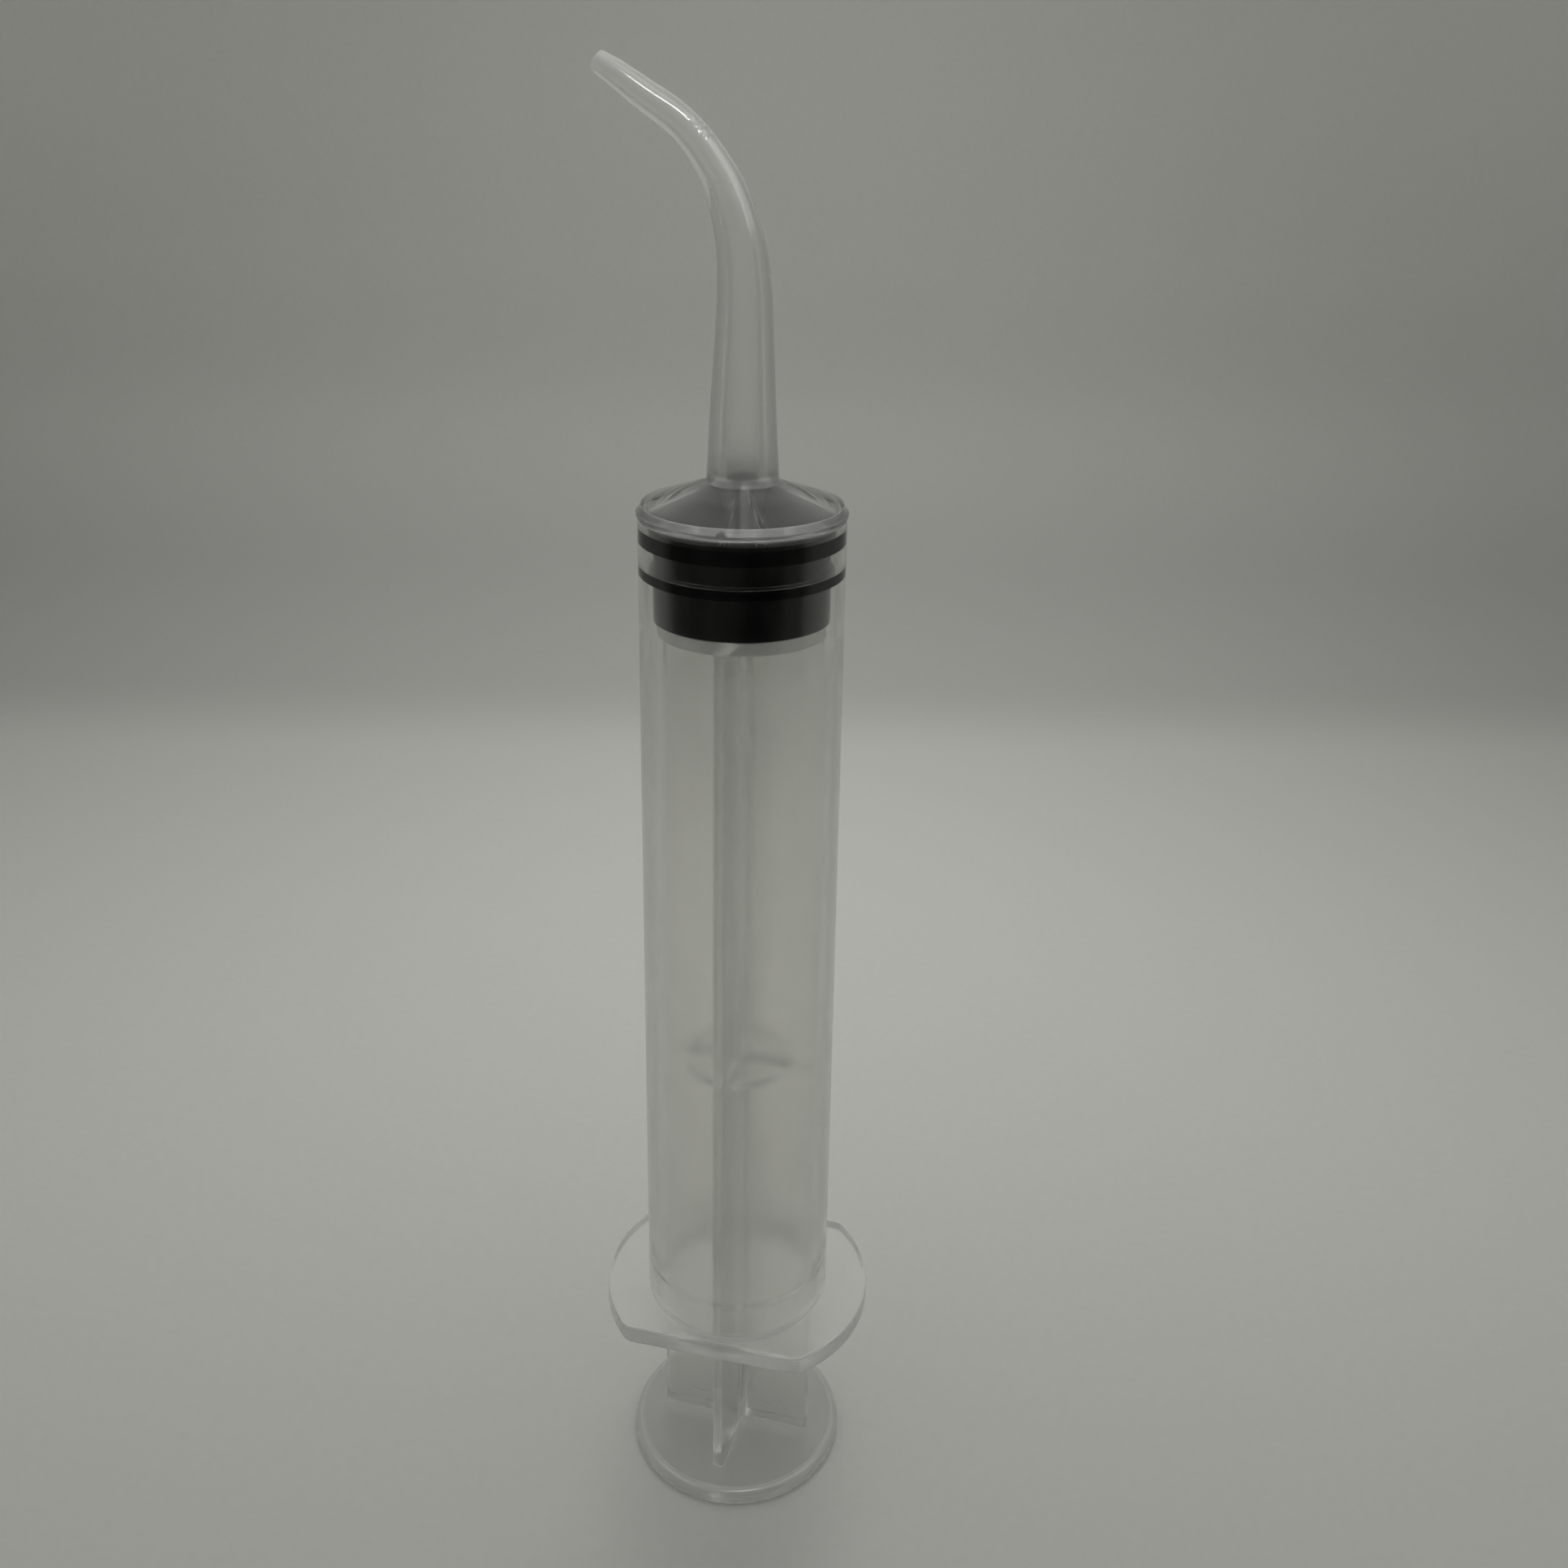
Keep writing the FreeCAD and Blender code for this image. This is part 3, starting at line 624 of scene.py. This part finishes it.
pp_barrel = clear_plastic(
    "clear_pp_barrel", (1.0, 1.0, 0.985), 0.02, 0.17, 0.23, 0.05, 3.1, 0.05,
    ((17.04, 0.84), (17.2, 0.62), (18.75, 0.62), (18.9, 0.84), (19.1, 0.965), (85.5, 0.97), (88.0, 1.0), (98.6, 1.0), (99.4, 0.86), (100.6, 0.80), (102.0, 0.84), (121.0, 0.78), (126.5, 0.68)),
    ((16.5, 1.0), (84.0, 1.0), (88.0, 0.25), (98.7, 0.25), (99.4, 1.0), (103.0, 1.02), (117.0, 0.98), (121.0, 0.60), (124.5, 0.16)),
    # painted shade by height: a darker flange and a darker nozzle foot
    ((17.04, 0.92), (17.2, 0.71), (18.75, 0.73), (18.9, 0.99), (19.1, 1.0), (98.9, 1.0), (99.4, 0.80), (100.8, 0.80), (102.2, 0.95), (104.0, 0.98), (119.0, 0.985)),
    ((16.5, 0.91), (100.0, 0.91)),
    ((17.04, 0.80), (18.9, 0.80), (19.2, 0.98), (99.2, 0.98), (101.6, 0.92), (130.0, 0.92)),
    (8.38, 8.46, 0.60, ((96.98, 0.0), (97.06, 1.0), (97.62, 1.0), (97.72, 0.0))),
    # painted shade rings: shoulder band, nozzle foot, bore entrance, nozzle bore, lead-in, crease at the flange
    ((0.24, 0, ((8.36, 0.0), (8.46, 1.0), (9.2, 1.0)), ((96.62, 0.0), (96.75, 0.5), (97.06, 1.0), (97.62, 1.0), (97.72, 0.0))),
     (0.18, 0, ((0.0, 0.85), (3.4, 0.85), (4.6, 0.35), (6.2, 0.0)), ((98.3, 0.0), (98.9, 0.6), (99.3, 1.0), (99.95, 1.0), (100.15, 0.0))),
     (0.08, 0.60, ((0.0, 1.0), (2.4, 1.0), (2.7, 0.0)), ((99.22, 0.0), (99.40, 1.0), (99.90, 1.0), (100.0, 0.0))),
     (0.50, 0, ((0.0, 1.0), (1.55, 1.0), (1.7, 0.0)), ((99.92, 0.0), (100.05, 0.30), (101.0, 0.25), (101.8, 0.0))),
     (0.55, 0, ((8.2, 1.0), (8.4, 0.0)), ((21.6, 0.0), (21.85, 0.62), (22.35, 0.62), (22.6, 0.0))),
     (0.35, 0, ((8.62, 0.0), (8.70, 1.0), (8.84, 1.0), (8.92, 0.0)), ((18.90, 0.0), (18.93, 0.9), (19.06, 0.9), (19.10, 0.0)))))
pp_rod = clear_plastic(
    "clear_pp_rod", (0.972, 0.972, 0.952), 0.03, 0.21, 0.26, 0.08, 7.7, 0.25,
    ((0.0, 0.84), (1.5, 0.84), (1.8, 0.86), (17.0, 0.88), (22.0, 0.92), (43.6, 0.96), (44.0, 0.88), (44.7, 0.88), (45.0, 0.96), (86.2, 0.95), (86.8, 0.62), (88.0, 0.60)),
    ((0.0, 0.8), (1.5, 0.8), (2.2, 1.0)),
    # painted shade by height: a dark band round the foot of the thumb rest, a painted contact shadow
    ((0.0, 0.93), (0.01, 0.93), (0.03, 0.64), (0.32, 0.68), (0.50, 0.97), (1.3, 0.97), (1.7, 0.985), (20.0, 0.99)),
    ((0.0, 0.58), (0.25, 0.60), (0.6, 0.74), (2.0, 0.78), (90.0, 0.80)),
    ((0.0, 0.96), (1.54, 0.96), (1.7, 0.62), (17.0, 0.62), (19.0, 0.74), (90.0, 0.74)),
    (9.35, 9.75, 0.20, ((0.2, 0.0), (0.5, 1.0), (1.55, 1.0), (1.8, 0.0))),
    # painted shade ring: a greyer outer rim of the thumb rest
    ((0.50, 0, ((9.30, 0.0), (9.75, 0.34), (11.0, 0.34)), ((0.2, 0.0), (0.5, 1.0), (1.7, 1.0), (1.9, 0.0))),))

mat, nt, N, L = material("black_rubber")
out = N.new("ShaderNodeOutputMaterial"); bs = N.new("ShaderNodeBsdfPrincipled")
tc = N.new("ShaderNodeTexCoord")
mp = N.new("ShaderNodeMapping"); mp.inputs["Scale"].default_value = (1, 1, 0.18)
L.new(tc.outputs["Object"], mp.inputs["Vector"])
n1 = N.new("ShaderNodeTexNoise"); n1.inputs["Scale"].default_value = 1800.0; n1.inputs["Detail"].default_value = 4.0
L.new(mp.outputs[0], n1.inputs["Vector"])
mr = N.new("ShaderNodeMapRange")
mr.inputs["From Min"].default_value, mr.inputs["From Max"].default_value = 0.3, 0.7
mr.inputs["To Min"].default_value, mr.inputs["To Max"].default_value = 0.12, 0.20
L.new(n1.outputs["Fac"], mr.inputs["Value"]); L.new(mr.outputs[0], bs.inputs["Roughness"])
ramp = N.new("ShaderNodeValToRGB")
ramp.color_ramp.elements[0].color = (0.0003, 0.0003, 0.0004, 1); ramp.color_ramp.elements[1].color = (0.0010, 0.0010, 0.0012, 1)
L.new(n1.outputs["Fac"], ramp.inputs["Fac"])
# painted highlights: two bundles of fine light streaks run up the cone, a lighter base colour standing in for reflected
# lamp light
sp = N.new("ShaderNodeSeparateXYZ"); L.new(tc.outputs["Object"], sp.inputs[0])
ang = N.new("ShaderNodeMath"); ang.operation = "ARCTAN2"
L.new(sp.outputs["X"], ang.inputs[0])
neg = N.new("ShaderNodeMath"); neg.operation = "MULTIPLY"; neg.inputs[1].default_value = -1.0
L.new(sp.outputs["Y"], neg.inputs[0]); L.new(neg.outputs[0], ang.inputs[1])
bundle = N.new("ShaderNodeValToRGB")
while len(bundle.color_ramp.elements) < 10:
    bundle.color_ramp.elements.new(0.5)
for e, (deg, v) in zip(bundle.color_ramp.elements, (
        (-20.0, 0.0), (0.5, 0.0), (2.5, 1.0), (7.5, 0.8), (9.0, 0.0), (21.0, 0.0), (23.0, 1.0), (31.0, 0.9), (33.5, 0.0), (60.0, 0.0))):
    e.position = (deg + 60.0) / 120.0
    e.color = (v, v, v, 1)
am = N.new("ShaderNodeMapRange")
am.inputs["From Min"].default_value, am.inputs["From Max"].default_value = -math.pi / 3, math.pi / 3
L.new(ang.outputs[0], am.inputs["Value"]); L.new(am.outputs[0], bundle.inputs["Fac"])
turn = N.new("ShaderNodeCombineXYZ"); L.new(ang.outputs[0], turn.inputs["X"])
zs = N.new("ShaderNodeMath"); zs.operation = "MULTIPLY"; zs.inputs[1].default_value = 14.0
L.new(sp.outputs["Z"], zs.inputs[0]); L.new(zs.outputs[0], turn.inputs["Y"])
lines = N.new("ShaderNodeTexNoise"); lines.inputs["Scale"].default_value = 62.0; lines.inputs["Detail"].default_value = 1.0
L.new(turn.outputs[0], lines.inputs["Vector"])
lr = N.new("ShaderNodeMapRange"); lr.inputs["From Min"].default_value, lr.inputs["From Max"].default_value = 0.54, 0.64
L.new(lines.outputs["Fac"], lr.inputs["Value"])
zm = N.new("ShaderNodeMapRange"); zm.inputs["From Min"].default_value, zm.inputs["From Max"].default_value = 0.0961, 0.0964
L.new(sp.outputs["Z"], zm.inputs["Value"])
k1 = N.new("ShaderNodeMath"); k1.operation = "MULTIPLY"; L.new(bundle.outputs["Color"], k1.inputs[0]); L.new(lr.outputs[0], k1.inputs[1])
k2 = N.new("ShaderNodeMath"); k2.operation = "MULTIPLY"; L.new(k1.outputs[0], k2.inputs[0]); L.new(zm.outputs[0], k2.inputs[1])
# painted highlight: the streaks lift the black base colour to a light grey
painted_streaks = N.new("ShaderNodeMix"); painted_streaks.data_type = "RGBA"; painted_streaks.inputs[7].default_value = (0.17, 0.17, 0.175, 1)
L.new(k2.outputs[0], painted_streaks.inputs[0]); L.new(ramp.outputs["Color"], painted_streaks.inputs[6])
L.new(painted_streaks.outputs[2], bs.inputs["Base Color"])
bp = N.new("ShaderNodeBump"); bp.inputs["Strength"].default_value = 0.2; bp.inputs["Distance"].default_value = 0.00002
L.new(n1.outputs["Fac"], bp.inputs["Height"]); L.new(bp.outputs[0], bs.inputs["Normal"])
bs.inputs["IOR"].default_value = 1.42
# pressed against the bore there is no air gap, so that band reflects nothing
flat = N.new("ShaderNodeVectorMath"); flat.operation = "MULTIPLY"; flat.inputs[1].default_value = (1.0, 1.0, 0.0)
far = N.new("ShaderNodeVectorMath"); far.operation = "LENGTH"
L.new(tc.outputs["Object"], flat.inputs[0]); L.new(flat.outputs[0], far.inputs[0])
wet = N.new("ShaderNodeMapRange")
wet.inputs["From Min"].default_value, wet.inputs["From Max"].default_value = 7.895 * MM, 7.905 * MM
wet.inputs["To Min"].default_value, wet.inputs["To Max"].default_value = 0.5, 0.0
L.new(far.outputs["Value"], wet.inputs["Value"]); L.new(wet.outputs[0], bs.inputs["Specular IOR Level"])
L.new(bs.outputs[0], out.inputs["Surface"])
rubber = mat

for ob, mt, body, node, sl in (
        (barrel, pp_barrel, "barrel_body", "barrel", "clear_barrel_plastic"),
        (stopper, rubber, "stopper_body", "rubber_stopper", "black_rubber"),
        (rod, pp_rod, "rod_body", "plunger_rod", "clear_rod_plastic")):
    ob.data.materials.clear()
    ob.data.materials.append(mt)
    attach(ob, body)
    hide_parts(node)

# ------------------------------------------------------------------ stage
# floor that sweeps up into a wall on three sides, open towards the viewer


def wall_path(inset):
    """U-shaped plan of the wall, moved inwards by inset (metres)."""
    hx, back, front, rc = 0.340 - inset, 0.275 - inset, -0.170, max(0.02, 0.140 - inset * 0.6)
    pts = [(-hx, front)]
    for k in range(13):
        a = math.pi - k / 12 * math.pi / 2
        pts.append((-hx + rc + rc * math.cos(a), back - rc + rc * math.sin(a)))
    for k in range(13):
        a = math.pi / 2 - k / 12 * math.pi / 2
        pts.append((hx - rc + rc * math.cos(a), back - rc + rc * math.sin(a)))
    pts.append((hx, front))
    return pts


RB = 0.080
rings = []
for k in range(13):
    a = k / 12 * math.pi / 2
    rings.append((RB - RB * math.sin(a), RB - RB * math.cos(a)))
rings += [(0.0, 0.12), (0.0, 0.17)]
sv, sf = [], []
for inset, z in rings:
    for x, y in wall_path(inset):
        sv.append(tuple(turned((x, y, z - 0.00003))))
nw = len(wall_path(0.0))
for i in range(len(rings) - 1):
    for k in range(nw - 1):
        sf.append((i * nw + k, i * nw + k + 1, (i + 1) * nw + k + 1, (i + 1) * nw + k))
sf.append(tuple([k for k in range(nw)][::-1]))
me = bpy.data.meshes.new("sweep"); me.from_pydata(sv, [], sf)
sweep = bpy.data.objects.new("studio_sweep", me)
scene.collection.objects.link(sweep)
for p in me.polygons:
    p.use_smooth = True
me.set_sharp_from_angle(angle=math.radians(30))
nt_pts = wall_path(0.0)
tv = [tuple(turned((x, y, z - 0.00003))) for z in (0.17, 0.60) for x, y in nt_pts]
tf = [(k, k + 1, nw + k + 1, nw + k) for k in range(nw - 1)]
me4 = bpy.data.meshes.new("sweep_top"); me4.from_pydata(tv, [], tf)
sweep_top = bpy.data.objects.new("studio_sweep_top", me4)
scene.collection.objects.link(sweep_top)
for p in me4.polygons:
    p.use_smooth = True
sweep_top.visible_diffuse = sweep_top.visible_glossy = False
sweep_top.visible_transmission = sweep_top.visible_shadow = False
me2 = bpy.data.meshes.new("floor")
me2.from_pydata([tuple(turned(v)) for v in ((-3, -3, -0.0004), (3, -3, -0.0004), (3, 3, -0.0004), (-3, 3, -0.0004))], [], [(0, 1, 2, 3)])
floor = bpy.data.objects.new("studio_floor", me2)
scene.collection.objects.link(floor)
mat, nt, N, L = material("studio_paper")
out = N.new("ShaderNodeOutputMaterial"); bs = N.new("ShaderNodeBsdfPrincipled")
bs.inputs["Roughness"].default_value = 0.85
bs.inputs["Specular IOR Level"].default_value = 0.2
tc = N.new("ShaderNodeTexCoord")
n1 = N.new("ShaderNodeTexNoise"); n1.inputs["Scale"].default_value = 900.0; n1.inputs["Detail"].default_value = 3.0
L.new(tc.outputs["Object"], n1.inputs["Vector"])
ramp = N.new("ShaderNodeValToRGB")
ramp.color_ramp.elements[0].color = (0.585, 0.59, 0.565, 1); ramp.color_ramp.elements[1].color = (0.625, 0.63, 0.605, 1)
L.new(n1.outputs["Fac"], ramp.inputs["Fac"])
# painted shading along the sheet: the paper's colour is darker where it curls up and towards the front, and lighter
# higher up the wall
dot = N.new("ShaderNodeVectorMath"); dot.operation = "DOT_PRODUCT"
along = turned((0, 1, 0))
dot.inputs[1].default_value = (along.x, along.y, 1.0)
L.new(tc.outputs["Object"], dot.inputs[0])
mr = N.new("ShaderNodeMapRange")
mr.inputs["From Min"].default_value, mr.inputs["From Max"].default_value = -0.05, 0.45
L.new(dot.outputs["Value"], mr.inputs["Value"])
painted_shading = N.new("ShaderNodeValToRGB")
painted_shading.color_ramp.interpolation = "EASE"
while len(painted_shading.color_ramp.elements) < 8:
    painted_shading.color_ramp.elements.new(0.5)
for e, (s_along, v) in zip(painted_shading.color_ramp.elements, (
        (-0.04, 0.90), (0.05, 0.98), (0.173, 0.92), (0.215, 0.76), (0.26, 0.75), (0.33, 0.93), (0.37, 1.02), (0.41, 1.06))):
    e.position = (s_along + 0.05) / 0.50
    e.color = (v, v, v, 1)
L.new(mr.outputs[0], painted_shading.inputs["Fac"])
mul = N.new("ShaderNodeMix"); mul.data_type = "RGBA"; mul.blend_type = "MULTIPLY"; mul.inputs[0].default_value = 1.0
L.new(ramp.outputs["Color"], mul.inputs[6]); L.new(painted_shading.outputs["Color"], mul.inputs[7])
L.new(mul.outputs[2], bs.inputs["Base Color"])
L.new(bs.outputs[0], out.inputs["Surface"])
me.materials.append(mat); me2.materials.append(mat); me4.materials.append(mat)

# ------------------------------------------------------------------ light
# A light tent: an even bright roof, dimmer towards the horizon.
FLAG_R, FLAG_HALF, FLAG_WIDE, FLAG_TURN = 0.150, 52.8, 88.0, -6.2
FLAG_SIDE = 0.90
TUBE = 0.014
CARD = 0.26
LINE = 0.240
HORIZON, ROOF, DOWN = 0.34, 0.45, 0.30
GLOW = 0.080


def area(name, loc, aim, sx, sy, power, color=(1, 1, 1), camera=False):
    ld = bpy.data.lights.new(name, "AREA")
    ld.shape, ld.size, ld.size_y, ld.energy, ld.color = "RECTANGLE", sx, sy, power, color
    ob = bpy.data.objects.new(name, ld)
    scene.collection.objects.link(ob)
    p, q = turned(loc), turned(aim)
    ob.location = p
    ob.rotation_mode = "QUATERNION"
    ob.rotation_quaternion = (q - p).to_track_quat("-Z", "Y")
    ob.visible_camera = camera
    return ob


glow = area("roof_glow", (0.012, 0.125, 0.40), (0.004, 0.125, 0.0), 0.09, 0.09, GLOW, (1.0, 1.0, 0.97))
glow.data.spread = math.radians(72)
glow.visible_glossy = False
glow.visible_transmission = False

# thin tubes in the roof draw the bright lines on the skin
for k, y in enumerate((0.150, 0.172)):
    tube = area("roof_tube_%d" % k, (0.0, y, 0.400), (0.0, y, 0.0), 0.17, 0.003, TUBE, (1.0, 1.0, 0.98))

# bright panels to the left and right, for reflections
for name, az, el, dist, w, h, power in (
        ("side_card_left", -75, 40, 0.36, 0.30, 0.22, CARD), ("side_card_right", 75, 40, 0.36, 0.30, 0.22, CARD * 1.15)):
    a, e = math.radians(-90 + az), math.radians(el)
    c = area(name, (dist * math.cos(e) * math.cos(a), dist * math.cos(e) * math.sin(a), 0.10 + dist * math.sin(e)), (0.0, 0.0, 0.10), w, h, power, (1.0, 1.0, 0.98))
    c.visible_diffuse = False

# a tube high in front draws the bright line along the bent tip
lamp = area("front_tube", (0.030, -0.138, 0.334), (-0.007, 0.001, 0.129), 0.120, 0.026, LINE, (1.0, 1.0, 0.97))
lamp.visible_diffuse = lamp.visible_transmission = False

# dark opening of the tent behind the viewer, seen only in reflections
cv, cf = [], []
NC = 42
for k in range(NC + 1):
    a = math.radians(-90 + FLAG_TURN + FLAG_WIDE * (2 * k / NC - 1))
    for z in (0.004, 0.172):
        cv.append(tuple(turned((FLAG_R * math.cos(a), FLAG_R * math.sin(a), z))))
for k in range(NC):
    cf.append((2 * k, 2 * k + 2, 2 * k + 3, 2 * k + 1))
me3 = bpy.data.meshes.new("opening"); me3.from_pydata(cv, [], cf)
opening = bpy.data.objects.new("studio_opening", me3)
scene.collection.objects.link(opening)
mat, nt, N, L = material("studio_opening_dark")
out = N.new("ShaderNodeOutputMaterial")
lp = N.new("ShaderNodeLightPath"); lt = N.new("ShaderNodeMath"); lt.operation = "GREATER_THAN"; lt.inputs[1].default_value = 0.5
tr = N.new("ShaderNodeBsdfTransparent"); dk = N.new("ShaderNodeBsdfDiffuse"); dk.inputs["Color"].default_value = (0.012, 0.012, 0.012, 1)
mix = N.new("ShaderNodeMixShader")
L.new(lp.outputs["Glossy Depth"], lt.inputs[0])
tc = N.new("ShaderNodeTexCoord")
dot = N.new("ShaderNodeVectorMath"); dot.operation = "DOT_PRODUCT"
front = turned((math.sin(math.radians(FLAG_TURN)), -math.cos(math.radians(FLAG_TURN)), 0)); dot.inputs[1].default_value = tuple(front / FLAG_R)
L.new(tc.outputs["Object"], dot.inputs[0])
fade = N.new("ShaderNodeValToRGB")
while len(fade.color_ramp.elements) < 4:
    fade.color_ramp.elements.new(0.5)
edge_at = math.cos(math.radians(FLAG_HALF))
for e, (q, v) in zip(fade.color_ramp.elements, ((math.cos(math.radians(FLAG_WIDE)), 0.0), (edge_at - 0.30, FLAG_SIDE), (edge_at - 0.008, FLAG_SIDE), (edge_at + 0.008, 1.0))):
    e.position = q
    e.color = (v, v, v, 1)
L.new(dot.outputs["Value"], fade.inputs["Fac"])
both = N.new("ShaderNodeMath"); both.operation = "MULTIPLY"
L.new(lt.outputs[0], both.inputs[0]); L.new(fade.outputs["Color"], both.inputs[1]); L.new(both.outputs[0], mix.inputs[0])
L.new(tr.outputs[0], mix.inputs[1]); L.new(dk.outputs[0], mix.inputs[2]); L.new(mix.outputs[0], out.inputs["Surface"])
me3.materials.append(mat)
opening.visible_camera = False
opening.visible_diffuse = False
opening.visible_shadow = False

world = bpy.data.worlds.new("studio")
scene.world = world
world.use_nodes = True
nt = world.node_tree; nt.nodes.clear(); N, L = nt.nodes, nt.links
out = N.new("ShaderNodeOutputWorld"); bg = N.new("ShaderNodeBackground")
tc = N.new("ShaderNodeTexCoord")
sep = N.new("ShaderNodeSeparateXYZ")
L.new(tc.outputs["Generated"], sep.inputs[0])
mr = N.new("ShaderNodeMapRange")
mr.inputs["From Min"].default_value, mr.inputs["From Max"].default_value = -1.0, 1.0
L.new(sep.outputs["Z"], mr.inputs["Value"])
ramp = N.new("ShaderNodeValToRGB")
ramp.color_ramp.interpolation = "EASE"
while len(ramp.color_ramp.elements) < 4:
    ramp.color_ramp.elements.new(0.5)
for e, (u, v) in zip(ramp.color_ramp.elements, ((-0.2, DOWN), (0.0, HORIZON), (0.35, HORIZON * 1.2), (0.70, ROOF))):
    e.position = (u + 1) / 2
    e.color = (v, v * 1.005, v * 0.965, 1)
L.new(mr.outputs[0], ramp.inputs["Fac"])
L.new(ramp.outputs["Color"], bg.inputs["Color"]); bg.inputs["Strength"].default_value = 1.0
L.new(bg.outputs[0], out.inputs["Surface"])

scene.view_settings.view_transform = "Standard"
scene.view_settings.look = "None"
scene.view_settings.exposure = 0.0
scene.view_settings.gamma = 1.0
cy = scene.cycles
cy.max_bounces, cy.transmission_bounces, cy.glossy_bounces, cy.diffuse_bounces = 28, 28, 12, 4
cy.transparent_max_bounces = 24
cy.caustics_reflective = False
cy.caustics_refractive = False
cy.sample_clamp_indirect = 4.0
cy.use_denoising = True
